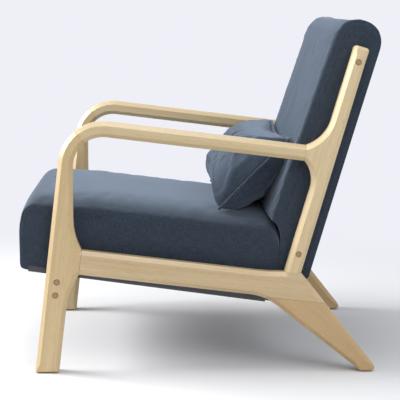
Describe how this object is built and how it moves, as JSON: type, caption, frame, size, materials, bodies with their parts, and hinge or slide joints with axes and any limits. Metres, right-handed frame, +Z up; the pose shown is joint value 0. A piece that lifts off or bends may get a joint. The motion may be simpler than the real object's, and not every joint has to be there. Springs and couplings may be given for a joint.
{
  "type": "lounge chair",
  "caption": "Low lounge chair with a pale wooden frame, curved arms, splayed rear legs, dark upholstered seat and back, and a loose lumbar pillow.",
  "frame": {"origin": "on the floor, at the middle of the chair's overall width and depth", "axes": "+Z up; the chair faces -Y; +X is the sitter's left hand"},
  "size_m": [0.6512, 0.7996, 0.7822],
  "materials": {
    "wood": "satin",
    "plug_wood": "satin",
    "tenon_wood": "matte",
    "frame_timber": "matte",
    "steel": "satin",
    "glide_plastic": "matte",
    "fabric": "matte",
    "panel_fabric": "matte",
    "foam": "matte",
    "fibre_fill": "matte",
    "webbing": "matte",
    "dust_cloth": "matte",
    "zip_metal": "satin"
  },
  "bodies": {
    "chair": {"back_bottom_rail": "frame_timber", "back_cover": "fabric", "back_foam": "foam", "back_left_upright": "frame_timber", "back_panel": "panel_fabric", "back_right_upright": "frame_timber", "back_top_rail": "frame_timber", "front_stretcher": "wood", "left_arm": "wood", "left_arm_tenon": "tenon_wood", "left_back_lower_bolt": "steel", "left_back_lower_plug": "plug_wood", "left_back_post": "wood", "left_back_upper_bolt": "steel", "left_back_upper_plug": "plug_wood", "left_front_glide": "glide_plastic", "left_front_leg": "wood", "left_mitre_tenon": "tenon_wood", "left_post_tenon": "tenon_wood", "left_rail_tenon": "tenon_wood", "left_rear_glide": "glide_plastic", "left_rear_leg": "wood", "left_seat_back_bolt": "steel", "left_side_rail": "wood", "left_stretcher_lower_bolt": "steel", "left_stretcher_lower_plug": "plug_wood", "left_stretcher_upper_bolt": "steel", "left_stretcher_upper_plug": "plug_wood", "right_arm": "wood", "right_arm_tenon": "tenon_wood", "right_back_lower_bolt": "steel", "right_back_lower_plug": "plug_wood", "right_back_post": "wood", "right_back_upper_bolt": "steel", "right_back_upper_plug": "plug_wood", "right_front_glide": "glide_plastic", "right_front_leg": "wood", "right_mitre_tenon": "tenon_wood", "right_post_tenon": "tenon_wood", "right_rail_tenon": "tenon_wood", "right_rear_glide": "glide_plastic", "right_rear_leg": "wood", "right_seat_back_bolt": "steel", "right_side_rail": "wood", "right_stretcher_lower_bolt": "steel", "right_stretcher_lower_plug": "plug_wood", "right_stretcher_upper_bolt": "steel", "right_stretcher_upper_plug": "plug_wood", "seat_cover": "fabric", "seat_dust_cover": "dust_cloth", "seat_foam": "foam", "seat_front_rail": "frame_timber", "seat_left_rail": "frame_timber", "seat_rear_rail": "frame_timber", "seat_right_rail": "frame_timber", "seat_webbing_front": "webbing", "seat_webbing_rear": "webbing"},
    "pillow": {"pillow_cover": "fabric", "pillow_fill": "fibre_fill"},
    "zip_slider": {"zip_slider": "zip_metal"}
  },
  "joints": [
    {"name": "pillow_lift", "type": "slide", "parent": "chair", "child": "pillow", "axis": [0, -0.6, 0.8], "range_m": [0, 0.3]},
    {"name": "zip_run", "type": "slide", "parent": "pillow", "child": "zip_slider", "axis": [1, 0, 0], "range_m": [0, 0.42]}
  ]
}
